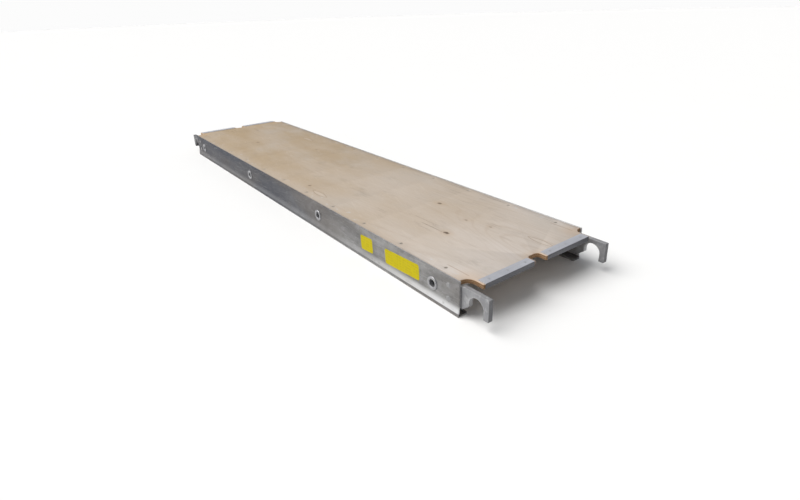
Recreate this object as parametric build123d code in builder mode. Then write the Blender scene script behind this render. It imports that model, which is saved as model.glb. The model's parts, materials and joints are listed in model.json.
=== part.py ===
"""Hook-on scaffold plank: extruded side rails, swaged rungs, plywood deck and cast bearer hooks.

X runs along the plank, Y across it and Z up. The origin is on the floor, below the middle of the
deck. "Right" is +X, "left" is -X, "front" is -Y and "back" is +Y. All sizes are in millimetres.
"""
from build123d import *
import os

os.makedirs("parts", exist_ok=True)

# ---- driving dimensions -------------------------------------------------------------------------
bearer_spacing = 2133.6  # between the centres of the two bearer tubes, 7 ft
bearer_height = 50.8  # centre of the bearer tube above the foot of the rails
rail_length = 2032.0
plank_width = 489.0  # over the outer faces of the two webs
deck_height = 101.6  # walking surface above the foot of the rails

# side rail section
web_thickness = 3.2
upstand_thickness = 4.2
ledge_width = 32.0
ledge_thickness = 3.2
ledge_lip = 5.0
foot_flare = 3.0
foot_lip_height = 8.0
foot_band_height = 27.0
flange_width = 26.0
flange_thickness = 3.6
flange_bead = 4.4
edge_round = 0.8

# rungs
rung_pitch = 609.6
rung_count = 4
rung_height = 54.0
rung_outer_radius = 12.7
rung_wall = 1.65
collar_radius = 19.0
collar_reach = 3.0
bead_radius = 16.5
bead_length = 5.0

# plywood deck
ply_thickness = 12.7
ply_gap = 0.5
tongue_reach = 1063.4
middle_notch_width = 42.0
middle_notch_back = 1033.0
middle_notch_round = 12.0
corner_notch_edge = 211.0
corner_notch_back = 1012.0
corner_notch_round = 24.0
tongue_corner_round = 3.0

# aluminium strips on the ends of the deck
strip_thickness = 1.6
strip_depth = 27.0
strip_length = 178.0
strip_rivet_pitch = 66.0
strip_rivet_inset = 14.0
strip_rivet_radius = 2.4
strip_rivet_head = 4.6
strip_rivet_dome = 0.9

# bearer hooks
throat_radius = 24.5
hook_tip_thickness = 17.0
hook_thickness = 14.0
hook_inset = 6.2
hook_top = 88.4
hook_tip_bottom = 28.0
throat_wall_bottom = 41.0
nose_root_bottom = 21.0
nose_gap = 0.3
shank_start = 946.0
shank_bottom = 28.0
shank_top = 85.0
shank_back_inset = 15.2
hook_edge_round = 1.2
hook_corner_round = 3.0
hook_rivet_x = 976.0
hook_rivet_heights = (37.0, 75.0)
hook_rivet_radius = 4.0
hook_rivet_head = 7.5
hook_rivet_dome = 3.0

# screws that hold the deck down on the ledges
screw_pitch = 188.0
screw_count = 11
screw_inset = 24.0
screw_radius = 2.4
screw_head_radius = 4.8
screw_head_depth = 2.8
screw_recess = 0.4
screw_length = 19.0

# stickers on the front rail
label_thickness = 0.25
label_tilt = 3.0
small_label_size = (64.0, 48.0)
small_label_centre = (608.0, 54.0)
large_label_size = (157.0, 48.0)
large_label_centre = (782.0, 56.0)
label_corner_round = 2.0

# ---- sizes that follow --------------------------------------------------------------------------
half_width = plank_width / 2
half_rail = rail_length / 2
saddle_x = bearer_spacing / 2
nose_root = half_rail + nose_gap
ply_bottom = deck_height - ply_thickness
deck_half_width = half_width - upstand_thickness - ply_gap
ledge_bottom = ply_bottom - ledge_thickness
middle_notch_edge = middle_notch_width / 2
tongue_centre = (middle_notch_edge + corner_notch_edge) / 2
strip_front = tongue_reach + strip_thickness
nose_front = -half_width + hook_inset
nose_back = nose_front + hook_thickness
shank_front = -half_width + web_thickness
shank_back = -half_width + shank_back_inset
throat_inner = saddle_x - throat_radius
throat_outer = saddle_x + throat_radius
hook_tip = throat_outer + hook_tip_thickness
rung_span = rung_pitch * (rung_count - 1)
rung_places = [-rung_span / 2 + rung_pitch * index for index in range(rung_count)]
screw_places = [screw_pitch * (index - (screw_count - 1) / 2) for index in range(screw_count)]
front_face = Plane.XZ.offset(half_width)


def write(part, name):
    """Label a finished piece and write it under its own name."""
    part.label = name
    export_step(part, f"parts/{name}.step")


def mirrored(piece, plane):
    """The same piece on the other side of a plane."""
    with BuildPart() as copy:
        mirror(piece, about=plane)
    return copy.part


# ---- side rails: one extrusion, cut, drilled for rungs, hook rivets and deck screws --------------
outer = -half_width
with BuildPart() as rail_front:
    with BuildSketch(Plane.YZ) as rail_section:
        with BuildLine():
            Polyline(
                (outer - foot_flare, 0),
                (outer - foot_flare, foot_lip_height),
                (outer, foot_band_height),
                (outer, deck_height),
                (outer + upstand_thickness, deck_height),
                (outer + upstand_thickness, ply_bottom),
                (outer + ledge_width, ply_bottom),
                (outer + ledge_width, ply_bottom - ledge_lip),
                (outer + ledge_width - ledge_thickness, ply_bottom - ledge_lip),
                (outer + ledge_width - ledge_thickness, ledge_bottom),
                (outer + web_thickness, ledge_bottom),
                (outer + web_thickness, foot_band_height),
                (outer + web_thickness - foot_flare, foot_lip_height),
                (outer + web_thickness - foot_flare, flange_thickness),
                (outer + flange_width - web_thickness, flange_thickness),
                (outer + flange_width - web_thickness, flange_thickness + flange_bead),
                (outer + flange_width, flange_thickness + flange_bead),
                (outer + flange_width, 0),
                close=True,
            )
        make_face()
        fillet(rail_section.vertices().group_by(Axis.Y)[-1], radius=edge_round)
        fillet(rail_section.vertices().group_by(Axis.Y)[0], radius=edge_round)
    extrude(amount=half_rail, both=True)
    with BuildSketch(front_face):
        with Locations(*[(place, rung_height) for place in rung_places]):
            Circle(rung_outer_radius)
        with Locations(*[(side * hook_rivet_x, h) for side in (-1, 1) for h in hook_rivet_heights]):
            Circle(hook_rivet_radius)
    extrude(amount=-2 * web_thickness, mode=Mode.SUBTRACT)
    with BuildSketch(Plane.XY.offset(ply_bottom)):
        with Locations(*[(place, screw_inset - half_width) for place in screw_places]):
            Circle(screw_radius)
    extrude(amount=-2 * ledge_thickness, mode=Mode.SUBTRACT)
write(rail_front.part, "rail_front")
write(mirrored(rail_front.part, Plane.XZ), "rail_back")

# ---- rungs: round tube pushed through both webs and swaged over them -----------------------------
rung_bore = rung_outer_radius - rung_wall
lip_round = collar_reach * 0.8
for number, place in enumerate(rung_places, start=1):
    with BuildPart() as rung:
        with BuildSketch(Plane((place, 0, rung_height))):
            with BuildLine():
                FilletPolyline(
                    (rung_bore, 0),
                    (rung_bore, half_width + collar_reach),
                    (collar_radius, half_width + collar_reach),
                    (collar_radius, half_width),
                    (rung_outer_radius, half_width),
                    radius=(lip_round, lip_round, 0.2),
                )
                Line((rung_outer_radius, half_width), (rung_outer_radius, half_width - web_thickness))
                FilletPolyline(
                    (rung_outer_radius, half_width - web_thickness),
                    (bead_radius, half_width - web_thickness),
                    (bead_radius, half_width - web_thickness - bead_length),
                    (rung_outer_radius, half_width - web_thickness - bead_length - lip_round),
                    (rung_outer_radius, 0),
                    radius=(0.2, 2.0, 2.0),
                )
                Line((rung_outer_radius, 0), (rung_bore, 0))
            make_face()
        revolve(axis=Axis((place, 0, rung_height), (0, 1, 0)))
        mirror(about=Plane.XZ)
    write(rung.part, f"rung_{number}")

# ---- plywood deck: notched at both ends so that neighbouring hooks fit between the tongues --------
with BuildPart() as deck:
    with BuildSketch(Plane.XY.offset(ply_bottom)) as deck_outline:
        Rectangle(2 * tongue_reach, 2 * deck_half_width)
        notch_depth = 2 * (tongue_reach - middle_notch_back)
        with Locations((-tongue_reach, 0), (tongue_reach, 0)):
            Rectangle(notch_depth, middle_notch_width, mode=Mode.SUBTRACT)
        corner_depth = 2 * (tongue_reach - corner_notch_back)
        corner_width = 2 * (deck_half_width - corner_notch_edge)
        with GridLocations(2 * tongue_reach, 2 * deck_half_width, 2, 2):
            Rectangle(corner_depth, corner_width, mode=Mode.SUBTRACT)
        corners = deck_outline.vertices()
        fillet(
            corners.filter_by(lambda v: abs(abs(v.X) - middle_notch_back) < 1),
            radius=middle_notch_round,
        )
        corners = deck_outline.vertices()
        fillet(
            corners.filter_by(
                lambda v: abs(abs(v.X) - corner_notch_back) < 1 and abs(v.Y) < corner_notch_edge + 1
            ),
            radius=corner_notch_round,
        )
        corners = deck_outline.vertices()
        fillet(
            corners.filter_by(lambda v: abs(abs(v.X) - tongue_reach) < 1),
            radius=tongue_corner_round,
        )
    extrude(amount=ply_thickness)
    screw_y = half_width - screw_inset
    screw_points = [(place, side * screw_y) for side in (-1, 1) for place in screw_places]
    with BuildSketch(Plane.XY.offset(ply_bottom)):
        with Locations(*screw_points):
            Circle(screw_radius)
    extrude(amount=ply_thickness, mode=Mode.SUBTRACT)
    with BuildSketch(Plane.XY.offset(deck_height - screw_recess)):
        with Locations(*screw_points):
            Circle(screw_head_radius)
    extrude(amount=screw_recess, mode=Mode.SUBTRACT)
    with Locations(*[(x, y, deck_height - screw_recess - screw_head_depth / 2) for x, y in screw_points]):
        Cone(screw_radius, screw_head_radius, screw_head_depth, mode=Mode.SUBTRACT)
    rivet_x = strip_front - strip_rivet_inset
    rivet_points = [
        (end * rivet_x, side * tongue_centre + step * strip_rivet_pitch)
        for end in (-1, 1)
        for side in (-1, 1)
        for step in (-1, 0, 1)
    ]
    with BuildSketch(Plane.XY.offset(ply_bottom)):
        with Locations(*rivet_points):
            Circle(strip_rivet_radius)
    extrude(amount=ply_thickness, mode=Mode.SUBTRACT)
write(deck.part, "plywood_deck")

# ---- end strips: an aluminium angle over the edge of each tongue ---------------------------------
with BuildPart() as strip:
    with BuildSketch(Plane.XZ.offset(tongue_centre - strip_length / 2)):
        with BuildLine():
            Polyline(
                (strip_front, ply_bottom),
                (strip_front, deck_height + strip_thickness),
                (strip_front - strip_depth, deck_height + strip_thickness),
                (strip_front - strip_depth, deck_height),
                (tongue_reach, deck_height),
                (tongue_reach, ply_bottom),
                close=True,
            )
        make_face()
    extrude(amount=strip_length)
    fillet(strip.edges().filter_by(Axis.Y).sort_by(Axis.Z)[-2:].sort_by(Axis.X)[-1], radius=1.0)
    with BuildSketch(Plane.XY.offset(deck_height)):
        with Locations(*[point for point in rivet_points if point[0] > 0 and point[1] < 0]):
            Circle(strip_rivet_radius)
    extrude(amount=strip_thickness, mode=Mode.SUBTRACT)
write(strip.part, "end_strip_right_front")
write(mirrored(strip.part, Plane.XZ), "end_strip_right_back")
write(mirrored(strip.part, Plane.YZ), "end_strip_left_front")
write(mirrored(mirrored(strip.part, Plane.YZ), Plane.XZ), "end_strip_left_back")

# ---- bearer hooks: a casting with a shank inside the rail and a nose over the bearer tube ---------
arch_top = (saddle_x, bearer_height + throat_radius)
with BuildPart() as hook:
    with BuildSketch(Plane.XZ.offset(-nose_back)) as nose_outline:
        with BuildLine():
            Line((nose_root, hook_top), (hook_tip, hook_top))
            Line((hook_tip, hook_top), (hook_tip, hook_tip_bottom))
            Line((hook_tip, hook_tip_bottom), (throat_outer, hook_tip_bottom))
            Line((throat_outer, hook_tip_bottom), (throat_outer, bearer_height))
            ThreePointArc((throat_outer, bearer_height), arch_top, (throat_inner, bearer_height))
            Line((throat_inner, bearer_height), (throat_inner, throat_wall_bottom))
            Line((throat_inner, throat_wall_bottom), (nose_root, nose_root_bottom))
            Line((nose_root, nose_root_bottom), (nose_root, hook_top))
        make_face()
        tip_corners = nose_outline.vertices().filter_by(lambda v: v.X > hook_tip - 1)
        fillet(tip_corners, radius=hook_corner_round)
        wall_foot = nose_outline.vertices().filter_by(
            lambda v: abs(v.X - throat_inner) < 1 and abs(v.Z - throat_wall_bottom) < 1
        )
        fillet(wall_foot, radius=2 * hook_corner_round)
    extrude(amount=hook_thickness)
    side_edges = hook.faces().filter_by(Axis.Y).edges()
    fillet(side_edges.filter_by(lambda e: e.center().X > nose_root + 1), radius=hook_edge_round)
    with BuildSketch(Plane.XZ.offset(-shank_back)):
        with Locations((shank_start, shank_bottom)):
            shank_length = nose_root - shank_start
            Rectangle(shank_length, shank_top - shank_bottom, align=(Align.MIN, Align.MIN))
    extrude(amount=shank_back - shank_front)
    shank_corners = hook.edges().filter_by(Axis.Y).group_by(Axis.X)[0]
    fillet(shank_corners, radius=2 * hook_corner_round)
    with BuildSketch(front_face):
        with Locations(*[(hook_rivet_x, height) for height in hook_rivet_heights]):
            Circle(hook_rivet_radius)
    extrude(amount=-shank_back_inset - 1, mode=Mode.SUBTRACT)
write(hook.part, "hook_right_front")
write(mirrored(hook.part, Plane.XZ), "hook_right_back")
write(mirrored(hook.part, Plane.YZ), "hook_left_front")
write(mirrored(mirrored(hook.part, Plane.YZ), Plane.XZ), "hook_left_back")


# ---- fasteners -----------------------------------------------------------------------------------
def dome(head_radius, height):
    """Radius of the sphere that a button head of this size is cut from."""
    return (head_radius**2 + height**2) / (2 * height)


with BuildPart() as hook_rivet:
    with BuildSketch(Plane.XY):
        with BuildLine():
            Line((0, -hook_rivet_dome), (0, shank_back_inset + hook_rivet_dome))
            RadiusArc(
                (0, shank_back_inset + hook_rivet_dome),
                (hook_rivet_head, shank_back_inset),
                dome(hook_rivet_head, hook_rivet_dome),
            )
            Line((hook_rivet_head, shank_back_inset), (hook_rivet_radius, shank_back_inset))
            Line((hook_rivet_radius, shank_back_inset), (hook_rivet_radius, 0))
            Line((hook_rivet_radius, 0), (hook_rivet_head, 0))
            RadiusArc(
                (hook_rivet_head, 0),
                (0, -hook_rivet_dome),
                dome(hook_rivet_head, hook_rivet_dome),
            )
        make_face()
    revolve(axis=Axis.Y)

with BuildPart() as hook_rivets:
    for end in (-1, 1):
        for height in hook_rivet_heights:
            with Locations(Location((end * hook_rivet_x, -half_width, height))):
                add(hook_rivet.part)
            with Locations(Location((end * hook_rivet_x, half_width, height), (0, 0, 180))):
                add(hook_rivet.part)
write(hook_rivets.part, "hook_rivets")

with BuildPart() as strip_rivet:
    strip_top = deck_height + strip_thickness
    with BuildSketch(Plane.XZ):
        with BuildLine():
            Line((0, ply_bottom - strip_rivet_dome), (0, strip_top + strip_rivet_dome))
            RadiusArc(
                (0, strip_top + strip_rivet_dome),
                (strip_rivet_head, strip_top),
                dome(strip_rivet_head, strip_rivet_dome),
            )
            Line((strip_rivet_head, strip_top), (strip_rivet_radius, strip_top))
            Line((strip_rivet_radius, strip_top), (strip_rivet_radius, ply_bottom))
            Line((strip_rivet_radius, ply_bottom), (strip_rivet_head, ply_bottom))
            RadiusArc(
                (strip_rivet_head, ply_bottom),
                (0, ply_bottom - strip_rivet_dome),
                dome(strip_rivet_head, strip_rivet_dome),
            )
        make_face()
    revolve(axis=Axis.Z)

with BuildPart() as strip_rivets:
    with Locations(*rivet_points):
        add(strip_rivet.part)
write(strip_rivets.part, "end_strip_rivets")

with BuildPart() as deck_screw:
    head_top = deck_height - screw_recess
    with BuildSketch(Plane.XZ):
        with BuildLine():
            Polyline(
                (0, head_top),
                (screw_head_radius, head_top),
                (screw_radius, head_top - screw_head_depth),
                (screw_radius, head_top - screw_length + screw_radius),
                (0, head_top - screw_length),
                close=True,
            )
        make_face()
    revolve(axis=Axis.Z)

with BuildPart() as deck_screws:
    with Locations(*screw_points):
        add(deck_screw.part)
write(deck_screws.part, "deck_screws")

# ---- stickers on the web of the front rail -------------------------------------------------------
for name, size, centre in (
    ("label_small", small_label_size, small_label_centre),
    ("label_large", large_label_size, large_label_centre),
):
    with BuildPart() as label:
        with BuildSketch(front_face):
            with Locations(Location((*centre, 0), (0, 0, label_tilt))):
                RectangleRounded(*size, label_corner_round)
        extrude(amount=label_thickness)
    write(label.part, name)
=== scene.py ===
"""Looks for a hook-on scaffold plank: plywood deck, end strips, bearer hooks, rails, rungs and stickers."""

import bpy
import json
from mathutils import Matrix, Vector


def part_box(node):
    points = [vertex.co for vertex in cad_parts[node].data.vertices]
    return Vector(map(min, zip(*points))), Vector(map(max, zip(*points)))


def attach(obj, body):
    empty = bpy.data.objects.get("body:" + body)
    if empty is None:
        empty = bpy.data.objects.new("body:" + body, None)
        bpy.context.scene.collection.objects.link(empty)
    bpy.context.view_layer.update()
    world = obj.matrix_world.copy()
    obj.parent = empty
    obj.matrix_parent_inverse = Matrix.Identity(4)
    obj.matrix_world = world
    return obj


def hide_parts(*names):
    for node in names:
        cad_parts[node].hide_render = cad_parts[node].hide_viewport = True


bl_info = {
    "name": "Scaffold Plank Looks",
    "version": (1, 0, 0),
    "blender": (4, 5, 0),
    "location": "3D View > Sidebar > Plank",
    "description": "Builds and finishes the pieces of a hook-on scaffold plank around its frame",
    "category": "Object",
}

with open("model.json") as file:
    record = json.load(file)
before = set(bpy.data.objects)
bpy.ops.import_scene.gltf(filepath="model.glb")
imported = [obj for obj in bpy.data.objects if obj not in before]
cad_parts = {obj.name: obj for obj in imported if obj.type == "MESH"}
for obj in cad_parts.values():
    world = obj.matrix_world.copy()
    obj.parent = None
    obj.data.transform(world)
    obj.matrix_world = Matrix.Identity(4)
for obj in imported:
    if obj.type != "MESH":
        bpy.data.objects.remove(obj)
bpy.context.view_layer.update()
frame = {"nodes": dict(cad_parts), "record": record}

import json
import math

import bmesh
import bpy
from mathutils import Matrix, Vector, noise

BODY = "root"
MM = 0.001
SIDES = ("front", "back")
ENDS = ("left", "right")
STRIPS = [f"end_strip_{end}_{side}" for end in ENDS for side in SIDES]
HOOKS = [f"hook_{end}_{side}" for end in ENDS for side in SIDES]
RAILS = [f"rail_{side}" for side in SIDES]
RUNGS = [f"rung_{number}" for number in (1, 2, 3, 4)]
LABELS = ["label_small", "label_large"]

SADDLE = frame["record"]["mounts"][0]
SADDLE_X = abs(SADDLE["pos_m"][0])
SADDLE_Z = SADDLE["pos_m"][2]
THROAT = SADDLE["dims"]["r_mm"] * MM
SCREWS_A_ROW = 11
SCREW_HEAD = 4.8 * MM
SCREW_HEAD_DEPTH = 2.8 * MM
SCREW_RECESS = 0.4 * MM
SCREW_SHANK = 2.4 * MM
STAGE_RADIUS = 28.0


# ---- shader arithmetic ---------------------------------------------------------------------------
class Signal:
    """An output socket that takes Python arithmetic: each operator adds a Math node."""

    def __init__(self, finish, socket):
        self.finish = finish
        self.socket = socket

    def math(self, operation, first, second):
        return self.finish.node("ShaderNodeMath", {"operation": operation}, {0: first, 1: second})

    def __add__(self, other):
        return self.math("ADD", self, other)

    def __mul__(self, other):
        return self.math("MULTIPLY", self, other)

    def __sub__(self, other):
        return self.math("SUBTRACT", self, other)

    def __rsub__(self, other):
        return self.math("SUBTRACT", other, self)

    def __truediv__(self, other):
        return self.math("DIVIDE", self, other)

    def __rtruediv__(self, other):
        return self.math("DIVIDE", other, self)

    __radd__ = __add__
    __rmul__ = __mul__

    def at_most(self, other):
        return self.math("MINIMUM", self, other)

    def at_least(self, other):
        return self.math("MAXIMUM", self, other)

    def size(self):
        return self.math("ABSOLUTE", self, 0.0)

    def fraction(self):
        return self.math("FRACT", self, 0.0)

    def rise(self, low, high):
        """0 below low, 1 above high and smooth between; high may be the smaller one."""
        settings = {"interpolation_type": "SMOOTHSTEP"}
        return self.finish.node(
            "ShaderNodeMapRange", settings, {"Value": self, "From Min": low, "From Max": high}
        )


class Finish:
    """A material, and the calls that grow its nodes."""

    def __init__(self, name, **constants):
        self.material = bpy.data.materials.new(name)
        self.material.use_nodes = True
        self.tree = self.material.node_tree
        self.tree.nodes.clear()
        values = {label(socket): value for socket, value in constants.items()}
        surface = self.node("ShaderNodeBsdfPrincipled", sockets=values)
        self.shader = surface.socket.node
        self.node("ShaderNodeOutputMaterial", sockets={"Surface": surface})
        self.place = self.node("ShaderNodeTexCoord", result="Object")
        self.x, self.y, self.z = self.split(self.place)

    def node(self, kind, settings=None, sockets=None, result=0):
        made = self.tree.nodes.new(kind)
        for name, value in (settings or {}).items():
            setattr(made, name, value)
        for key, value in (sockets or {}).items():
            if isinstance(value, Signal):
                self.tree.links.new(value.socket, made.inputs[key])
            else:
                made.inputs[key].default_value = value
        return Signal(self, made.outputs[result]) if made.outputs else None

    def split(self, vector):
        node = self.node("ShaderNodeSeparateXYZ", sockets={0: vector}).socket.node
        return [Signal(self, socket) for socket in node.outputs]

    def facing(self):
        """The surface's own direction, as X, Y and Z from -1 to 1."""
        return self.split(self.node("ShaderNodeNewGeometry", result="Normal"))

    def vector(self, operation, first, second, result=0):
        return self.node("ShaderNodeVectorMath", {"operation": operation}, {0: first, 1: second}, result)

    def mix(self, factor, first, second, blend="MIX"):
        settings = {"data_type": "RGBA", "blend_type": blend}
        return self.node("ShaderNodeMix", settings, {0: factor, 6: colour(first), 7: colour(second)}, 2)

    def grain(self, stretch, detail=3.0, roughness=0.5, shift=0.0, wander=0.0):
        """Noise from 0 to 1 whose features per metre along X, Y and Z are stretch."""
        moved = self.vector("ADD", self.place, (shift, shift * 0.7, shift * 0.3))
        scaled = self.vector("MULTIPLY", moved, stretch)
        sockets = {"Vector": scaled, "Scale": 1.0, "Detail": detail, "Roughness": roughness}
        sockets["Distortion"] = wander
        return self.node("ShaderNodeTexNoise", sockets=sockets)

    def scratches(self, angle, axis, length, width, amount, shift):
        """Thin straight scratches turned by an angle about an axis; amount is the share they cover."""
        settings = {"rotation_type": f"{axis}_AXIS"}
        turned = self.node("ShaderNodeVectorRotate", settings, {"Vector": self.place, "Angle": angle})
        moved = self.vector("ADD", turned, (shift, shift, shift))
        fine = 1.0 / width
        scaled = self.vector("MULTIPLY", moved, (1.0 / length, fine, fine))
        streak = self.node("ShaderNodeTexNoise", sockets={"Vector": scaled, "Scale": 1.0, "Detail": 1.0})
        return streak.rise(0.80 - amount, 0.84 - amount)

    def worn_edges(self, radius, low=0.03, high=0.25):
        """1 along convex and concave edges, 0 on flat ground."""
        rounded = self.node("ShaderNodeBevel", {"samples": 4}, {"Radius": radius})
        flat = self.node("ShaderNodeNewGeometry", result="Normal")
        return (1.0 - self.vector("DOT_PRODUCT", rounded, flat, "Value")).rise(low, high)

    def set(self, **sockets):
        for name, value in sockets.items():
            socket = self.shader.inputs[label(name)]
            self.tree.links.new(value.socket, socket)

    def bump(self, height, distance, strength=1.0):
        sockets = {"Height": height, "Distance": distance, "Strength": strength}
        self.set(normal=self.node("ShaderNodeBump", sockets=sockets))


def label(name):
    """The shader's own name for a socket, from a keyword."""
    return name.replace("_", " ").title().replace("Ior", "IOR")


def strongest(masks):
    """One mask that is as strong as the strongest of several."""
    result = masks[0]
    for mask in masks[1:]:
        result = result.at_least(mask)
    return result


def colour(value):
    """A colour that a socket takes, with its alpha."""
    if isinstance(value, Signal) or len(value) == 4:
        return value
    return (*value, 1.0)


# ---- meshes --------------------------------------------------------------------------------------
def new_piece(name, build, material, smooth_angle=35.0):
    """A piece whose mesh a builder fills, smooth where it turns less than the angle."""
    work = bmesh.new()
    build(work)
    bmesh.ops.recalc_face_normals(work, faces=work.faces)
    mesh = bpy.data.meshes.new(name)
    work.to_mesh(mesh)
    work.free()
    piece = bpy.data.objects.new(name, mesh)
    bpy.context.scene.collection.objects.link(piece)
    mesh.materials.append(material)
    mesh.shade_smooth()
    mesh.set_sharp_from_angle(angle=math.radians(smooth_angle))
    return piece


def arc(centre, radius, start, sweep, steps=8):
    """Points round an arc, angles in degrees."""
    angles = [math.radians(start + sweep * step / steps) for step in range(steps + 1)]
    return [(centre[0] + radius * math.cos(a), centre[1] + radius * math.sin(a)) for a in angles]


def spaced(points, step):
    """The closed outline again, with no side longer than the step."""
    result = []
    for first, second in zip(points, points[1:] + points[:1]):
        a, b = Vector(first), Vector(second)
        count = max(1, math.ceil((b - a).length / step))
        result += [a.lerp(b, index / count) for index in range(count)]
    return result


def outward(points):
    """The outward direction at each point of a counter-clockwise outline, long enough to mitre."""
    result = []
    for before, point, after in zip(points[-1:] + points[:-1], points, points[1:] + points[:1]):
        first, second = (point - before).normalized(), (after - point).normalized()
        mean = (first + second).normalized()
        across = Vector((mean.y, -mean.x))
        result.append(across / max(0.5, mean.dot(second)))
    return result


def skin(work, rings):
    """Closed bands of faces between rings that have the same number of points."""
    loops = [[work.verts.new(point) for point in ring] for ring in rings]
    for low, high in zip(loops, loops[1:]):
        for index in range(len(low)):
            follow = (index + 1) % len(low)
            work.faces.new((low[index], low[follow], high[follow], high[index]))
    return loops


def cap(work, loop, holes=()):
    """Fills a loop, leaving holes open."""
    edges = []
    for ring in (loop, *holes):
        edges += [work.edges.get((a, b)) for a, b in zip(ring, ring[1:] + ring[:1])]
    bmesh.ops.triangle_fill(work, use_beauty=True, use_dissolve=False, edges=edges)


def dress(node_names, material):
    """Gives CAD nodes a finish."""
    for name in node_names:
        mesh = frame["nodes"][name].data
        mesh.materials.clear()
        mesh.materials.append(material)


def stand_for(piece, node):
    """The piece rides on the plank in place of a CAD node."""
    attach(piece, BODY)
    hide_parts(node)


# ---- settings ------------------------------------------------------------------------------------
def length(name, description, default):
    return bpy.props.FloatProperty(
        name=name, description=description, default=default, min=0.0, subtype="DISTANCE", unit="LENGTH"
    )


def paint(name, description, default):
    return bpy.props.FloatVectorProperty(
        name=name, description=description, default=default, size=3, min=0.0, max=1.0, subtype="COLOR"
    )


class PlankDeckSettings(bpy.types.PropertyGroup):
    """Shape and colours of the plywood deck"""

    plies: bpy.props.IntProperty(name="Plies", description="Layers of veneer", default=5, min=3)
    notch_edge: length("Middle notch edge", "Half the width of the middle notch", 21 * MM)
    notch_back: length("Middle notch back", "Reach of the middle notch's back wall", 1033 * MM)
    notch_round: length("Middle notch round", "Radius in the middle notch's corners", 12 * MM)
    corner_edge: length("Corner notch edge", "Half width over the tongues", 211 * MM)
    corner_back: length("Corner notch back", "Reach of the corner notch's back wall", 1012 * MM)
    corner_round: length("Corner notch round", "Radius in the corner notch", 24 * MM)
    tongue_round: length("Tongue round", "Radius on the tongues' own corners", 3 * MM)
    pale: paint("Pale veneer", "Worn, bleached face veneer", (0.578, 0.526, 0.488))
    warm: paint("Warm veneer", "Face veneer where it is less worn", (0.385, 0.290, 0.185))
    grey: paint("Weathered veneer", "Face veneer greyed by rain and boots", (0.45, 0.405, 0.36))
    dark: paint("Knots", "Knots and open grain", (0.085, 0.055, 0.033))
    edge: paint("Ply edge", "Stained end grain at the notches", (0.30, 0.155, 0.065))


class PlankMetalSettings(bpy.types.PropertyGroup):
    """Colours of the aluminium and steel pieces"""

    rail_light: paint("Rail", "Cleaner stretches of the rails", (0.300, 0.296, 0.292))
    rail_dark: paint("Rail, dulled", "Oxidised stretches of the rails", (0.205, 0.200, 0.200))
    strip: paint("End strips", "Satin angle on the deck's ends", (0.60, 0.61, 0.665))
    cast: paint("Hooks", "Cast hooks", (0.345, 0.345, 0.355))
    # also paints the highlight on the rails' foot band and the painted light inside their webs
    bright: paint("Rubbed metal and painted highlight", "Metal rubbed bright, also used as painted highlight", (0.70, 0.70, 0.71))
    grime: paint("Grime", "Dirt in corners", (0.10, 0.085, 0.07))


class PlankLabelSettings(bpy.types.PropertyGroup):
    """Shape and colours of the stickers"""

    corner: length("Corner", "Radius on the corners", 7 * MM)
    tilt: bpy.props.FloatProperty(
        name="Tilt",
        description="How far they were stuck on crooked",
        default=math.radians(3),
        subtype="ANGLE",
    )
    film: paint("Film", "Sticker film", (0.55, 0.455, 0.003))
    bars: paint("Bars", "Plain bars printed on the film", (0.25, 0.135, 0.012))


class PlankStageSettings(bpy.types.PropertyGroup):
    """Camera and floor"""

    azimuth: bpy.props.FloatProperty(
        name="Azimuth", description="Camera turn from the front", default=math.radians(53.64), subtype="ANGLE"
    )
    elevation: bpy.props.FloatProperty(
        name="Elevation", description="Camera height angle", default=math.radians(23.59), subtype="ANGLE"
    )
    roll: bpy.props.FloatProperty(
        name="Roll", description="Camera roll", default=math.radians(-1.89), subtype="ANGLE"
    )
    place: bpy.props.FloatVectorProperty(
        name="Camera", description="Camera position", default=(1.799, -0.9937, 0.7259), subtype="TRANSLATION"
    )
    lens: bpy.props.FloatProperty(
        name="Lens", description="Focal length in millimetres", default=23.08, unit="CAMERA"
    )
    shift: bpy.props.FloatProperty(name="Shift", description="Vertical shift", default=-0.03125)
    floor: paint("Floor", "Pale floor", (0.86, 0.86, 0.86))


# ---- plywood deck --------------------------------------------------------------------------------
def mirrored_outline(quarter):
    """A closed outline from its part with positive X and Y, listed from the X side to the Y side."""
    upper = quarter + [(-x, y) for x, y in reversed(quarter)]
    return upper + [(-x, -y) for x, y in upper]


def deck_outline(settings, reach, half_width):
    """The deck's outline: two tongues at each end, with a notch between and beside them."""
    s = settings
    tip = s.tongue_round
    quarter = [(s.notch_back, 0.0)]
    quarter += arc((s.notch_back + s.notch_round, s.notch_edge - s.notch_round), s.notch_round, 180, -90)
    quarter += arc((reach - tip, s.notch_edge + tip), tip, -90, 90, 4)
    quarter += arc((reach - tip, s.corner_edge - tip), tip, 0, 90, 4)
    corner = (s.corner_back + s.corner_round, s.corner_edge + s.corner_round)
    quarter += arc(corner, s.corner_round, -90, -90, 12)
    quarter += [(s.corner_back, half_width)]
    return mirrored_outline(quarter)


def veneer_profile(plies, bottom, top):
    """Height and inset of the rings up a ply edge: cross-grain layers stand back a little."""
    layer = (top - bottom) / plies
    rings = []
    for index in range(plies):
        inset = 0.0 if index % 2 == 0 else 0.35 * MM
        rings.append((bottom + layer * index, inset))
        rings.append((bottom + layer * (index + 1), inset))
    rings[0] = (bottom, 0.5 * MM)
    rings.insert(1, (bottom + 0.5 * MM, 0.0))
    rings[-1] = (top - 0.6 * MM, 0.0)
    rings.append((top, 0.6 * MM))
    return rings


def splinter(point, height, top):
    """How far the edge is broken away at a point: a little everywhere, more at the top veneer."""
    rough = noise.noise(Vector((point.x * 90, point.y * 90, height * 300)))
    bite = noise.noise(Vector((point.x * 34 + 5, point.y * 34, 3.0)))
    near_top = max(0.0, 1.0 - (top - height) / (2.4 * MM))
    return 0.12 * MM * (1 + rough) + max(0.0, bite - 0.18) * 5 * MM * near_top


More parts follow.
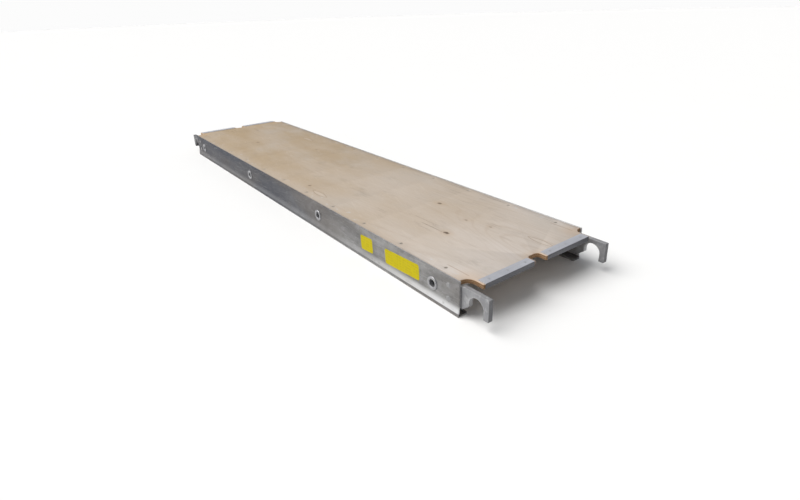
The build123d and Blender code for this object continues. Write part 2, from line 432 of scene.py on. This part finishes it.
def plywood(settings):
    """Worn rotary-cut plywood, with its layers showing at the edges."""
    f = Finish("worn_plywood", specular_ior_level=0.35)
    s = settings
    # broad tone: the veneer is paler towards the right end
    tone = f.grain((1.6, 5.0, 4.0), 4.0, 0.55, 3.0)
    wear = f.grain((2.6, 4.2, 3.0), 5.0, 0.6, 11.0)
    lengthwise = f.x.rise(-1.1, 0.6) * 0.42 + f.x.rise(0.6, 1.0) * 0.5
    paler = (lengthwise + (tone.rise(0.30, 0.72) - 0.5) * 0.35).at_most(1.0).at_least(0.0)
    base = f.mix(paler, s.warm, s.pale)
    base = f.mix(wear.rise(0.46, 0.74) * 0.6, base, s.grey)
    # cathedral figure: contours of a smooth field, drawn out along the plank
    field = f.grain((0.75, 5.5, 2.0), 1.5, 0.45, 21.0, 0.35)
    contour = ((field * 26.0).fraction() - 0.5).size()
    figure = contour.rise(0.30, 0.49)
    strength = f.grain((1.2, 6.0, 2.0), 2.0, 0.5, 5.0).rise(0.38, 0.62)
    latewood = figure * (0.25 + strength * 0.75)
    base = f.mix(latewood * 0.15, base, (0.33, 0.235, 0.16))
    # fibres and open checks
    fibre = f.grain((9.0, 620.0, 620.0), 2.0, 0.6, 1.0)
    base = f.mix((fibre.rise(0.42, 0.70)) * 0.22, base, (0.30, 0.235, 0.175))
    check = f.grain((5.0, 420.0, 60.0), 1.0, 0.5, 8.0).rise(0.70, 0.74)
    patchy = f.grain((3.0, 7.0, 3.0), 2.0, 0.5, 17.0).rise(0.50, 0.62)
    checks = check * patchy
    base = f.mix(checks * 0.5, base, (0.17, 0.125, 0.09))
    # knots with a ring of dark figure round each
    spots = []
    halos = []
    for x, y, radius, depth in DECK_KNOTS:
        flat = f.vector("MULTIPLY", f.place, (0.72, 1.0, 0.0))
        reach = f.vector("DISTANCE", flat, (x * 0.72, y, 0.0), "Value")
        wobble = reach + (f.grain((60.0, 60.0, 60.0), 2.0, 0.5, x) - 0.5) * radius
        spots.append(wobble.rise(radius * 1.15, radius * 0.45) * depth)
        halos.append(wobble.rise(radius * 3.6, radius) * 0.5 * depth)
    knots = strongest(spots)
    base = f.mix(strongest(halos) * 0.6, base, (0.40, 0.28, 0.175))
    base = f.mix(knots * 0.88, base, s.dark)
    # boat-shaped repair patches
    insides = []
    outlines = []
    for x, y, reach, width in DECK_PATCHES:
        u = (f.x - x) / reach
        bow = (1.0 - u * u).at_least(0.0) * width
        gap = (f.y - y).size() - bow
        insides.append(gap.rise(0.0006, -0.0006))
        outlines.append(gap.size().rise(0.0016, 0.0005) * u.size().rise(1.04, 1.0))
    seams = strongest(outlines)
    base = f.mix(strongest(insides) * 0.25, base, (0.58, 0.50, 0.42))
    base = f.mix(seams * 0.60, base, (0.24, 0.155, 0.09))
    # a long split in the grain beside the darkest knot
    split = (f.y + 0.083 + (wear - 0.5) * 0.003).size().rise(0.0013, 0.0005)
    split = split * (f.x - 0.723).size().rise(0.052, 0.040)
    base = f.mix(split * 0.7, base, (0.20, 0.15, 0.11))
    # scuffs, boot dirt and splashes of mortar
    scuff = f.scratches(0.35, "Z", 0.11, 0.0016, 0.10, 4.0)
    scuff = scuff.at_least(f.scratches(-0.55, "Z", 0.08, 0.0013, 0.09, 9.0))
    scuff = scuff.at_least(f.scratches(1.25, "Z", 0.07, 0.0012, 0.07, 15.0))
    base = f.mix(scuff * 0.30, base, (0.68, 0.60, 0.51))
    dirt = f.grain((7.0, 13.0, 7.0), 6.0, 0.68, 33.0).rise(0.52, 0.80)
    base = f.mix(dirt * 0.34, base, (0.235, 0.20, 0.165))
    splash = f.grain((95.0, 95.0, 40.0), 2.0, 0.6, 51.0).rise(0.735, 0.765)
    zone = f.grain((3.2, 5.0, 2.0), 2.0, 0.5, 61.0).rise(0.52, 0.66)
    splashes = splash * zone
    base = f.mix(splashes * 0.7, base, (0.62, 0.61, 0.58))
    # resin stain and rubbed-through veneer at the corners by the notches
    corner = f.x.size().rise(0.955, 1.02) * f.y.size().rise(0.150, 0.225)
    middle = f.x.size().rise(1.000, 1.045) * f.y.size().rise(0.050, 0.020)
    rubbed = corner.at_least(middle) * (0.35 + wear * 0.6)
    base = f.mix(rubbed * 0.6, base, (0.50, 0.33, 0.19))
    saw = (f.y.size() - 0.2065 + (wear - 0.5) * 0.002).size().rise(0.0016, 0.0006)
    saw = saw * f.x.size().rise(0.925, 0.935) * f.x.size().rise(1.012, 1.008)
    base = f.mix(saw * 0.5, base, (0.27, 0.16, 0.085))
    # pale, bluish smears where mortar or filler sits by the rails
    smear = f.grain((30.0, 60.0, 30.0), 4.0, 0.6, 71.0).rise(0.60, 0.70)
    smear = smear * f.y.size().rise(0.195, 0.214)
    base = f.mix(smear * 0.55, base, (0.52, 0.53, 0.54))
    # grime gathered along the rails
    rim = f.y.size().rise(0.215, 0.241) * (0.35 + wear * 0.6)
    base = f.mix(rim * 0.40, base, (0.33, 0.295, 0.265))
    # edges of the sheet: stained layers
    upward = f.facing()[2]
    side = upward.size().rise(0.75, 0.35)
    layer = (cad_deck_top() - cad_deck_bottom()) / s.plies
    level = (f.z - cad_deck_bottom()) / layer
    cross = (level / 2.0).fraction().rise(0.495, 0.505)
    glue = ((level.fraction() - 0.5).size()).rise(0.43, 0.48)
    ends = f.grain((160.0, 160.0, 700.0), 3.0, 0.6, 2.0)
    stain = f.mix(ends.rise(0.3, 0.75), s.edge, (0.46, 0.30, 0.165))
    layered = f.mix(cross * 0.55, stain, (0.17, 0.085, 0.038))
    layered = f.mix(glue * 0.6, layered, (0.055, 0.03, 0.018))
    base = f.mix(side, base, layered)
    # underside is plainer and browner
    under = upward.rise(-0.5, -0.8)
    base = f.mix(under * 0.55, base, (0.36, 0.26, 0.17))
    roughness = 0.66 + wear * 0.12 + dirt * 0.10 - splashes * 0.05
    f.set(base_color=base, roughness=roughness)
    height = fibre * 0.25 - latewood * 0.22 - checks * 1.6 - seams * 1.2 - knots * 0.9
    height = height + splashes * 1.1 + tone * 0.5 - scuff * 0.15 - split * 1.5 - saw
    height = height + side * (ends * 1.6 - glue * 0.8)
    f.bump(height, 0.00045)
    return f.material


def cad_deck_top():
    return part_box("plywood_deck")[1].z


def cad_deck_bottom():
    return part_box("plywood_deck")[0].z


# place along X and Y and radius, in metres, then how dark
DECK_KNOTS = (
    (0.782, -0.078, 0.0080, 1.0),
    (0.592, 0.063, 0.0080, 0.75),
    (0.752, 0.031, 0.0050, 0.5),
    (0.838, 0.048, 0.0045, 0.45),
    (0.130, -0.180, 0.0070, 0.6),
    (-0.310, 0.090, 0.0070, 0.35),
    (-0.640, -0.060, 0.0085, 0.4),
    (-0.860, 0.130, 0.0060, 0.3),
)
# middle, half length and half width, in metres
DECK_PATCHES = (
    (0.998, 0.080, 0.046, 0.0095),
    (0.235, -0.195, 0.050, 0.0100),
    (-0.520, 0.155, 0.052, 0.0105),
)


def screw_places():
    """Centres of the screw heads, read from their node: two rows, evenly spaced."""
    low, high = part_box("deck_screws")
    first, last = low.x + SCREW_HEAD, high.x - SCREW_HEAD
    step = (last - first) / (SCREWS_A_ROW - 1)
    rows = (low.y + SCREW_HEAD, high.y - SCREW_HEAD)
    return [(first + step * index, y) for y in rows for index in range(SCREWS_A_ROW)]


class PLANK_OT_deck(bpy.types.Operator):
    """Builds the plywood deck, its layers showing at the edges"""

    bl_idname = "plank.deck"
    bl_label = "Plywood deck"

    def execute(self, context):
        settings = context.scene.plank_deck
        low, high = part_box("plywood_deck")
        longest_side = 7 * MM
        outline = spaced(deck_outline(settings, high.x, high.y), longest_side)
        directions = outward(outline)
        profile = veneer_profile(settings.plies, low.z, high.z)

        def build(work):
            rings = []
            for height, inset in profile:
                ring = []
                for point, direction in zip(outline, directions):
                    away = inset + splinter(point, height, high.z)
                    place = point - direction * away
                    ring.append((place.x, place.y, height))
                rings.append(ring)
            loops = skin(work, rings)
            holes = [self.screw_hole(work, centre, low.z, high.z) for centre in screw_places()]
            cap(work, loops[0], [hole[0] for hole in holes])
            cap(work, loops[-1], [hole[-1] for hole in holes])

        piece = new_piece("deck_plywood", build, plywood(settings), 50)
        stand_for(piece, "plywood_deck")
        return {"FINISHED"}

    def screw_hole(self, work, centre, bottom, top):
        """A countersunk hole, crushed a little round its rim."""
        rim_round = 0.25 * MM
        crushed = 1.1 * MM
        levels = (
            (SCREW_SHANK, bottom),
            (SCREW_SHANK, top - SCREW_RECESS - SCREW_HEAD_DEPTH),
            (SCREW_HEAD, top - SCREW_RECESS),
            (SCREW_HEAD + rim_round, top - rim_round),
            (SCREW_HEAD + crushed, top),
        )
        rings = []
        for radius, height in levels:
            circle = arc(centre, radius, 0, 360, 24)[:-1]
            rings.append([(x, y, height) for x, y in circle])
        return skin(work, rings)


# ---- end strips ----------------------------------------------------------------------------------
def satin_strip(settings):
    """Satin aluminium angle, scratched by boots and by the planks that it meets."""
    s = settings
    f = Finish("strip_aluminium", metallic=0.5, specular_ior_level=0.3)
    lines = f.grain((260.0, 3.0, 260.0), 2.0, 0.6, 2.0)
    cloud = f.grain((22.0, 14.0, 22.0), 4.0, 0.6, 7.0)
    scratch = f.scratches(1.1, "Z", 0.03, 0.0006, 0.13, 3.0)
    scratch = scratch.at_least(f.scratches(0.2, "Z", 0.05, 0.0007, 0.12, 6.0))
    edge = f.worn_edges(0.0012)
    dust = f.grain((140.0, 90.0, 140.0), 5.0, 0.65, 9.0).rise(0.56, 0.78)
    base = f.mix(cloud.rise(0.3, 0.72), s.strip, (0.50, 0.51, 0.555))
    base = f.mix(lines.rise(0.4, 0.75) * 0.3, base, (0.40, 0.405, 0.44))
    base = f.mix(scratch * 0.55, base, s.bright)
    base = f.mix(edge * 0.5, base, s.bright)
    base = f.mix(dust * 0.35, base, (0.33, 0.31, 0.28))
    # painted shade: the upright face past the plywood's end is painted darker than the top
    front = f.x.size().rise(1.0632, 1.0645)
    base = f.mix(front * 0.88, base, (0.070, 0.070, 0.076))
    roughness = 0.40 + cloud * 0.16 + dust * 0.25 - scratch * 0.12 - edge * 0.08
    f.set(base_color=base, roughness=roughness)
    f.bump(lines * 0.3 - scratch * 0.8 + dust * 0.4, 0.00012)
    return f.material


class PLANK_OT_end_strips(bpy.types.Operator):
    """Builds the four aluminium angles on the ends of the deck"""

    bl_idname = "plank.end_strips"
    bl_label = "End strips"

    def execute(self, context):
        material = satin_strip(context.scene.plank_metal)
        for node in STRIPS:
            piece = new_piece(f"{node}_angle", lambda work: self.angle(work, node), material, 40)
            stand_for(piece, node)
        return {"FINISHED"}

    def angle(self, work, node):
        """An L section with a rolled outer corner, carried along Y with small dings."""
        low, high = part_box(node)
        sheet = 1.6 * MM
        burr = 0.3 * MM
        turn = 1.0 if high.x > 0 else -1.0
        front = high.x if turn > 0 else -low.x
        back = low.x if turn > 0 else -high.x
        top = high.z
        roll = 2.0 * MM
        section = [(back, top - sheet), (back, top - burr), (back + burr, top)]
        section += arc((front - roll, top - roll), roll, 90, -90, 6)
        section += [(front, low.z + burr), (front - burr, low.z), (front - sheet, low.z)]
        section += [(front - sheet, top - sheet)]
        stations = 72
        rings = []
        for index in range(stations + 1):
            y = low.y + (high.y - low.y) * index / stations
            ring = []
            for x, z in section:
                dent = noise.noise(Vector((x * 60 + turn, y * 45, z * 60)))
                nick = noise.noise(Vector((7.0, y * 120 + turn, 2.0)))
                sink = 0.22 * MM * max(0.0, dent) + 0.5 * MM * max(0.0, nick - 0.3)
                corner = 1.0 if x > front - roll and z > low.z + 2 * roll else 0.0
                ring.append((turn * (x - sink * corner), y, z - sink * corner))
            rings.append(ring)
        loops = skin(work, rings)
        cap(work, loops[0])
        cap(work, loops[-1])


# ---- hooks ---------------------------------------------------------------------------------------
def cast_aluminium(settings):
    """Sand-cast aluminium: fine pits and bumps, dull, rubbed bright where it rides on tube."""
    s = settings
    f = Finish("cast_hook", metallic=0.35, specular_ior_level=0.25)
    sand = f.grain((900.0, 900.0, 900.0), 3.0, 0.6, 1.0)
    lump = f.grain((130.0, 130.0, 130.0), 3.0, 0.5, 4.0)
    blotch = f.grain((70.0, 70.0, 70.0), 3.0, 0.6, 31.0)
    cloud = f.grain((24.0, 24.0, 24.0), 4.0, 0.6, 8.0)
    edge = f.worn_edges(0.0016)
    mirrored = f.vector("MULTIPLY", f.vector("ABSOLUTE", f.place, (0, 0, 0)), (1, 0, 1))
    across = f.vector("DISTANCE", mirrored, (SADDLE_X, 0, SADDLE_Z), "Value")
    throat = across.rise(THROAT + 0.0045, THROAT + 0.0006)
    rub = f.scratches(1.57, "Z", 0.02, 0.0008, 0.16, 2.0)
    base = f.mix(cloud.rise(0.3, 0.7), s.cast, (0.265, 0.265, 0.275))
    base = f.mix(blotch.rise(0.52, 0.68) * 0.45, base, (0.50, 0.50, 0.51))
    base = f.mix(sand.rise(0.55, 0.8) * 0.3, base, (0.17, 0.17, 0.175))
    # painted shade: the hooks darken towards the left end
    base = f.mix(f.x.rise(0.2, -0.9) * 0.65, base, (0.095, 0.097, 0.105))
    # painted shade on the faces that look along X, the hooks' ends
    ends = f.facing()[0].size().rise(0.35, 0.95)
    base = f.mix(ends * 0.62, base, (0.105, 0.105, 0.110))
    base = f.mix((edge * 0.5).at_least(throat * 0.6 * (0.5 + rub)), base, s.bright)
    grime = f.grain((60.0, 60.0, 60.0), 5.0, 0.65, 19.0).rise(0.55, 0.8)
    base = f.mix(grime * 0.4, base, s.grime)
    roughness = 0.58 + grime * 0.2 - edge * 0.14 - throat * 0.18
    f.set(base_color=base, roughness=roughness)
    f.bump(sand * 0.8 + lump * 1.2 - rub * throat * 0.5, 0.0004)
    return f.material


class PLANK_OT_hooks(bpy.types.Operator):
    """Finishes the four cast hooks"""

    bl_idname = "plank.hooks"
    bl_label = "Hooks"

    def execute(self, context):
        dress(HOOKS, cast_aluminium(context.scene.plank_metal))
        return {"FINISHED"}


# ---- rails and rungs -----------------------------------------------------------------------------
def rail_extrusion(settings):
    """Mill-finish extrusion: die lines along its length, oxide bloom, scuffs and splashes."""
    s = settings
    f = Finish("rail_extrusion", specular_ior_level=0.12)
    die = f.grain((0.6, 900.0, 900.0), 2.0, 0.6, 1.0)
    band = f.grain((0.35, 60.0, 60.0), 2.0, 0.5, 5.0)
    bloom = f.grain((6.0, 20.0, 20.0), 6.0, 0.66, 9.0)
    spots = f.grain((75.0, 75.0, 75.0), 4.0, 0.62, 14.0).rise(0.60, 0.74)
    edge = f.worn_edges(0.0012)
    scratch = f.scratches(0.10, "Y", 0.09, 0.0010, 0.12, 3.0)
    scratch = scratch.at_least(f.scratches(-0.22, "Y", 0.05, 0.0009, 0.11, 8.0))
    scratch = scratch.at_least(f.scratches(0.75, "Y", 0.035, 0.0008, 0.09, 12.0))
    # the web leans out over the foot there, so it catches more light and more rubbing
    foot = f.z.rise(0.034, 0.016) * f.z.rise(0.0085, 0.011)
    foot_top = 0.0080
    # painted shade: a dark line along the top of the foot's lip
    crease_shade = (f.z - foot_top).size().rise(0.0022, 0.0008)
    # painted shade: the rails turn darker and bluish towards the left end
    far = f.x.rise(0.62, -0.15)
    base = f.mix(bloom.rise(0.38, 0.62), s.rail_light, s.rail_dark)
    base = f.mix(far * 0.92, base, (0.038, 0.044, 0.064))
    mottle = f.grain((26.0, 34.0, 34.0), 3.0, 0.55, 63.0)
    base = f.mix(mottle.rise(0.50, 0.66) * (1.0 - far) * 0.35, base, (0.40, 0.395, 0.41))
    base = f.mix(mottle.rise(0.46, 0.32) * 0.35, base, (0.150, 0.145, 0.150))
    # inside the web: painted light that lifts the shade under the deck, on faces that are also cleaner where
    # weather and boots don't reach
    inner = f.y.size().rise(0.2430, 0.2418) * f.z.rise(0.012, 0.022)
    base = f.mix(inner * 0.7, base, s.bright)
    brown = f.grain((2.2, 9.0, 9.0), 3.0, 0.5, 55.0).rise(0.42, 0.62)
    base = f.mix(brown * 0.42, base, (0.150, 0.126, 0.104))
    base = f.mix(band.rise(0.4, 0.75) * 0.25, base, (0.17, 0.17, 0.175))
    base = f.mix(die.rise(0.45, 0.75) * 0.2, base, (0.19, 0.19, 0.195))
    # painted highlight on the foot band, growing towards the right end, over a little real rubbing
    base = f.mix(foot * (0.12 + f.x.rise(0.45, 0.98) * 0.85), base, s.bright)
    # painted shade along the top of the foot's lip
    base = f.mix(crease_shade * 0.45, base, (0.13, 0.13, 0.14))
    base = f.mix(scratch * 0.22, base, s.bright)
    base = f.mix(edge * 0.40, base, s.bright)
    base = f.mix(spots * 0.35, base, (0.11, 0.10, 0.09))
    stain = f.grain((9.0, 22.0, 26.0), 5.0, 0.65, 27.0).rise(0.56, 0.80)
    base = f.mix(stain * 0.30, base, (0.13, 0.10, 0.075))
    mortar = f.grain((150.0, 150.0, 150.0), 2.0, 0.6, 41.0).rise(0.745, 0.775)
    zone = f.grain((4.0, 4.0, 9.0), 2.0, 0.5, 47.0).rise(0.52, 0.66)
    splash = mortar * zone
    base = f.mix(splash * 0.7, base, (0.50, 0.49, 0.47))
    roughness = 0.38 + bloom * 0.22 + spots * 0.12 + stain * 0.1 - foot * 0.08 - scratch * 0.08
    metallic = 0.50 - spots * 0.2 - stain * 0.2 - splash * 0.3
    f.set(base_color=base, roughness=roughness, metallic=metallic)
    f.bump(die * 0.5 - scratch * 0.8 + splash * 3.0 - spots * 0.5, 0.00012)
    return f.material


class PLANK_OT_rails(bpy.types.Operator):
    """Finishes the two side rails"""

    bl_idname = "plank.rails"
    bl_label = "Side rails"

    def execute(self, context):
        dress(RAILS, rail_extrusion(context.scene.plank_metal))
        return {"FINISHED"}


def rung_tube(settings):
    """Drawn tube: dull along its length, bright and lined where it was swaged."""
    s = settings
    f = Finish("rung_tube", metallic=0.6)
    drawn = f.grain((700.0, 2.5, 700.0), 2.0, 0.6, 1.0)
    bloom = f.grain((20.0, 9.0, 20.0), 5.0, 0.6, 6.0)
    edge = f.worn_edges(0.0010)
    collar = f.y.size().rise(0.2440, 0.2452)
    base = f.mix(bloom.rise(0.32, 0.70), (0.37, 0.37, 0.385), (0.26, 0.26, 0.275))
    base = f.mix(drawn.rise(0.45, 0.75) * 0.3, base, (0.22, 0.22, 0.225))
    base = f.mix((collar * 0.10).at_least(edge * 0.22), base, s.bright)
    pits = f.grain((420.0, 420.0, 420.0), 3.0, 0.6, 12.0).rise(0.56, 0.76)
    base = f.mix(pits * 0.35, base, (0.25, 0.24, 0.225))
    f.set(base_color=base, roughness=0.40 + bloom * 0.2 - collar * 0.08)
    f.bump(drawn * 0.5 - pits * 0.6, 0.00015)
    return f.material


class PLANK_OT_rungs(bpy.types.Operator):
    """Finishes the four swaged rungs"""

    bl_idname = "plank.rungs"
    bl_label = "Rungs"

    def execute(self, context):
        dress(RUNGS, rung_tube(context.scene.plank_metal))
        return {"FINISHED"}


# ---- fasteners -----------------------------------------------------------------------------------
def rivet_head(settings):
    """Aluminium rivets, burnished by the set tool, dirt round the head."""
    s = settings
    f = Finish("rivet_aluminium", metallic=0.6)
    cloud = f.grain((300.0, 300.0, 300.0), 4.0, 0.6, 3.0)
    pits = f.grain((1300.0, 1300.0, 1300.0), 2.0, 0.6, 6.0).rise(0.58, 0.72)
    base = f.mix(cloud.rise(0.3, 0.7), (0.38, 0.38, 0.385), (0.26, 0.26, 0.265))
    base = f.mix(f.z.rise(0.095, 0.100) * 0.8, base, (0.50, 0.51, 0.55))
    base = f.mix(pits * 0.4, base, s.grime)
    f.set(base_color=base, roughness=0.36 + cloud * 0.22)
    f.bump(cloud * 0.6 - pits * 0.8, 0.00012)
    return f.material


def screw_steel():
    """Zinc-plated screws, dulled, with a trace of rust."""
    f = Finish("screw_zinc", metallic=0.8)
    cloud = f.grain((260.0, 260.0, 260.0), 4.0, 0.6, 3.0)
    rust = f.grain((420.0, 420.0, 420.0), 4.0, 0.65, 9.0).rise(0.55, 0.72)
    base = f.mix(cloud.rise(0.3, 0.7), (0.52, 0.47, 0.41), (0.36, 0.32, 0.27))
    base = f.mix(rust * 0.6, base, (0.20, 0.085, 0.035))
    f.set(base_color=base, roughness=0.50 + rust * 0.3, metallic=0.8 - rust * 0.6)
    f.bump(cloud * 0.6 + rust * 0.8, 0.00015)
    return f.material


class PLANK_OT_fasteners(bpy.types.Operator):
    """Finishes the rivets and screws"""

    bl_idname = "plank.fasteners"
    bl_label = "Rivets and screws"

    def execute(self, context):
        settings = context.scene.plank_metal
        dress(["hook_rivets", "end_strip_rivets"], rivet_head(settings))
        dress(["deck_screws"], screw_steel())
        return {"FINISHED"}


# ---- stickers ------------------------------------------------------------------------------------
def label_film(settings):
    """Faded yellow film with plain printed bars and no lettering."""
    s = settings
    f = Finish("label_yellow", specular_ior_level=0.08)
    fade = f.grain((16.0, 16.0, 24.0), 4.0, 0.6, 2.0)
    scuff = f.scratches(0.12, "Y", 0.05, 0.0009, 0.14, 5.0)
    grime = f.grain((70.0, 70.0, 70.0), 5.0, 0.66, 9.0).rise(0.55, 0.80)
    base = f.mix(fade.rise(0.32, 0.72), s.film, (0.52, 0.44, 0.006))
    rows_a_metre = 118.0
    rows = ((f.z * rows_a_metre).fraction() - 0.5).size().rise(0.26, 0.20)
    words = f.grain((150.0, 1.0, 30.0), 1.0, 0.5, 13.0).rise(0.47, 0.53)
    base = f.mix(rows * words * 0.20, base, s.bars)
    base = f.mix(scuff * 0.15, base, (0.50, 0.44, 0.16))
    base = f.mix(grime * 0.35, base, (0.24, 0.19, 0.07))
    f.set(base_color=base, roughness=0.46 + grime * 0.25 + fade * 0.1)
    f.bump(fade * 0.8 + grime * 0.4 - scuff * 0.4, 0.0001)
    return f.material


class PLANK_OT_stickers(bpy.types.Operator):
    """Builds the two stickers on the front rail, with round, worn corners"""

    bl_idname = "plank.stickers"
    bl_label = "Stickers"

    def execute(self, context):
        settings = context.scene.plank_label
        material = label_film(settings)
        for node in LABELS:
            piece = new_piece(f"{node}_film", lambda work: self.film(work, node, settings), material, 40)
            stand_for(piece, node)
        return {"FINISHED"}

    def film(self, work, node, settings):
        """A thin plate, turned a little on the web, with small bites out of its rim."""
        low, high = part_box(node)
        middle = (low + high) / 2
        wide, tall, tilt = high.x - low.x, high.z - low.z, settings.tilt
        half_x = (wide * math.cos(tilt) - tall * math.sin(tilt)) / math.cos(2 * tilt) / 2
        half_z = (tall * math.cos(tilt) - wide * math.sin(tilt)) / math.cos(2 * tilt) / 2
        bend = settings.corner
        outline = []
        for turn, x, z in ((0, 1, 1), (90, -1, 1), (180, -1, -1), (270, 1, -1)):
            outline += arc((x * (half_x - bend), z * (half_z - bend)), bend, turn, 90, 6)
        outline = spaced(outline, 2.5 * MM)
        rings = []
        for y in (high.y, low.y):
            ring = []
            for point, direction in zip(outline, outward(outline)):
                bite = noise.noise(Vector((point.x * 140, point.y * 140, middle.x * 10)))
                worn = point - direction * (0.3 * MM + 2.2 * MM * max(0.0, bite - 0.25))
                x = worn.x * math.cos(tilt) - worn.y * math.sin(tilt)
                z = worn.x * math.sin(tilt) + worn.y * math.cos(tilt)
                ring.append((middle.x + x, y, middle.z + z))
            rings.append(ring)
        loops = skin(work, rings)
        for loop in loops:
            cap(work, loop)


# ---- stage ---------------------------------------------------------------------------------------
class PLANK_OT_stage(bpy.types.Operator):
    """Sets the floor, backdrop, lights and camera"""

    bl_idname = "plank.stage"
    bl_label = "Stage"

    def execute(self, context):
        settings = context.scene.plank_stage
        self.floor(settings)
        self.backdrop()
        self.lights(context.scene)
        self.camera(context.scene, settings)
        return {"FINISHED"}

    def floor(self, settings):
        f = Finish("floor_paper", roughness=0.9, specular_ior_level=0.1)
        fibre = f.grain((5.0, 5.0, 5.0), 4.0, 0.6, 1.0)
        pale = tuple(settings.floor)
        shade = tuple(value * 0.985 for value in pale)
        f.set(base_color=f.mix(fibre, pale, shade))

        def build(work):
            rim = [work.verts.new((*point, 0.0)) for point in arc((0, 0), STAGE_RADIUS, 0, 360, 96)[:-1]]
            work.faces.new(rim)

        new_piece("floor", build, f.material)

    def backdrop(self):
        """A white dome that only the camera sees."""
        black = (0.0, 0.0, 0.0, 1.0)
        f = Finish("backdrop_white", base_color=black, emission_strength=1.0, specular_ior_level=0.0)
        cloth = f.grain((0.4, 0.4, 0.4), 2.0, 0.5, 1.0)
        f.set(emission_color=f.mix(cloth, (0.970, 0.970, 0.970), (0.975, 0.975, 0.975)))

        def build(work):
            bmesh.ops.create_uvsphere(work, u_segments=64, v_segments=32, radius=STAGE_RADIUS)

        dome = new_piece("backdrop", build, f.material)
        dome.visible_diffuse = False
        dome.visible_glossy = False
        dome.visible_transmission = False
        dome.visible_shadow = False

    def lights(self, scene):
        world = bpy.data.worlds.new("studio")
        scene.world = world
        world.use_nodes = True
        fill = world.node_tree.nodes["Background"].inputs
        fill["Color"].default_value = (0.93, 0.96, 1.0, 1.0)
        fill["Strength"].default_value = 0.33
        sun = bpy.data.lights.new("key", "SUN")
        sun.energy = 3.35
        softness = math.radians(55)
        sun.angle = softness
        sun.color = (1.0, 0.985, 0.96)
        key = bpy.data.objects.new("key", sun)
        towards_sun = Vector((-0.42, -0.52, 1.0))
        key.rotation_euler = towards_sun.to_track_quat("Z", "Y").to_euler()
        scene.collection.objects.link(key)
        scene.view_settings.view_transform = "Standard"

    def camera(self, scene, settings):
        data = bpy.data.cameras.new("camera")
        data.sensor_width = 36.0
        data.lens = settings.lens
        data.shift_y = settings.shift
        data.clip_start = 0.01
        data.clip_end = 100.0
        camera = bpy.data.objects.new("camera", data)
        a, e, roll = settings.azimuth, settings.elevation, settings.roll
        back = Vector((math.sin(a) * math.cos(e), -math.cos(a) * math.cos(e), math.sin(e)))
        right = Vector((math.cos(a), math.sin(a), 0.0))
        up = back.cross(right)
        turned_right = right * math.cos(roll) + up * math.sin(roll)
        turned_up = up * math.cos(roll) - right * math.sin(roll)
        turn = Matrix((turned_right, turned_up, back)).transposed()
        camera.matrix_world = Matrix.Translation(settings.place) @ turn.to_4x4()
        scene.collection.objects.link(camera)
        scene.camera = camera


# ---- panel and registration ----------------------------------------------------------------------
SETTINGS = {
    "plank_deck": PlankDeckSettings,
    "plank_metal": PlankMetalSettings,
    "plank_label": PlankLabelSettings,
    "plank_stage": PlankStageSettings,
}
OPERATORS = (
    PLANK_OT_stage,
    PLANK_OT_deck,
    PLANK_OT_end_strips,
    PLANK_OT_hooks,
    PLANK_OT_rails,
    PLANK_OT_rungs,
    PLANK_OT_fasteners,
    PLANK_OT_stickers,
)


class PLANK_PT_sidebar(bpy.types.Panel):
    """Lists the plank's pieces"""

    bl_idname = "PLANK_PT_sidebar"
    bl_label = "Scaffold plank"
    bl_space_type = "VIEW_3D"
    bl_region_type = "UI"
    bl_category = "Plank"

    def draw(self, context):
        for operator in OPERATORS:
            self.layout.operator(operator.bl_idname)
        for name, group in SETTINGS.items():
            box = self.layout.box()
            for setting in group.__annotations__:
                box.prop(getattr(context.scene, name), setting)


CLASSES = (*SETTINGS.values(), *OPERATORS, PLANK_PT_sidebar)


def register():
    for each in CLASSES:
        bpy.utils.register_class(each)
    for name, group in SETTINGS.items():
        setattr(bpy.types.Scene, name, bpy.props.PointerProperty(type=group))


def unregister():
    for name in SETTINGS:
        delattr(bpy.types.Scene, name)
    for each in reversed(CLASSES):
        bpy.utils.unregister_class(each)


def main():
    register()
    for operator in OPERATORS:
        family, action = operator.bl_idname.split(".")
        getattr(getattr(bpy.ops, family), action)()


if __name__ == "__main__":
    main()
